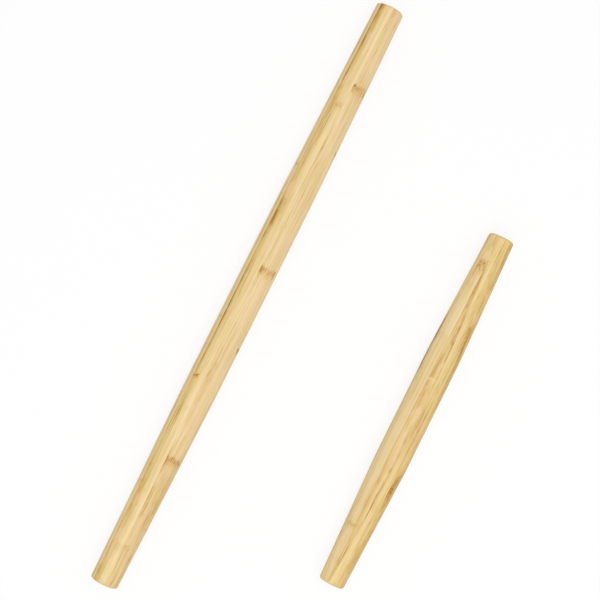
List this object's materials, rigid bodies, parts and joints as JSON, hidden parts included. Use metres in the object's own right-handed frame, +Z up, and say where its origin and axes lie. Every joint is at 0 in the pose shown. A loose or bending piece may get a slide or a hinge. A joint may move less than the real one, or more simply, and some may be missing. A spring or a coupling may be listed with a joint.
{
  "type": "french rolling pin set",
  "caption": "Handle-less tapered rolling pins, a long one and a short one, each turned from a blank of glued bamboo strips.",
  "frame": {"origin": "centre of the footprint of the two pins, on the surface that they lie on", "axes": "+X along both pins, towards the ends at the top of the picture; +Y from the short pin to the long pin; +Z up"},
  "size_m": [0.5, 0.185, 0.027],
  "materials": {
    "bamboo_tan": "oiled satin",
    "bamboo_cream": "oiled satin",
    "bamboo_amber": "oiled satin"
  },
  "bodies": {
    "long_pin": {"long_crown_strip": "bamboo_tan", "long_shoulder_strip_left": "bamboo_cream", "long_shoulder_strip_right": "bamboo_amber", "long_upper_core_strip_left": "bamboo_amber", "long_upper_core_strip_right": "bamboo_tan", "long_lower_core_strip_left": "bamboo_tan", "long_lower_core_strip_right": "bamboo_cream", "long_belly_strip_left": "bamboo_cream", "long_belly_strip_right": "bamboo_tan", "long_sole_strip": "bamboo_tan"},
    "short_pin": {"short_crown_strip_left": "bamboo_cream", "short_crown_strip_right": "bamboo_tan", "short_shoulder_strip_left": "bamboo_amber", "short_shoulder_strip_right": "bamboo_cream", "short_upper_core_strip_left": "bamboo_cream", "short_upper_core_strip_right": "bamboo_amber", "short_lower_core_strip_left": "bamboo_tan", "short_lower_core_strip_right": "bamboo_cream", "short_belly_strip_left": "bamboo_amber", "short_belly_strip_right": "bamboo_tan", "short_sole_strip_left": "bamboo_cream", "short_sole_strip_right": "bamboo_tan"}
  },
  "joints": [
    {"name": "short_pin_lift", "type": "slide", "parent": "long_pin", "child": "short_pin", "axis": [0, 0, 1], "range_m": [0, 0.06]}
  ]
}
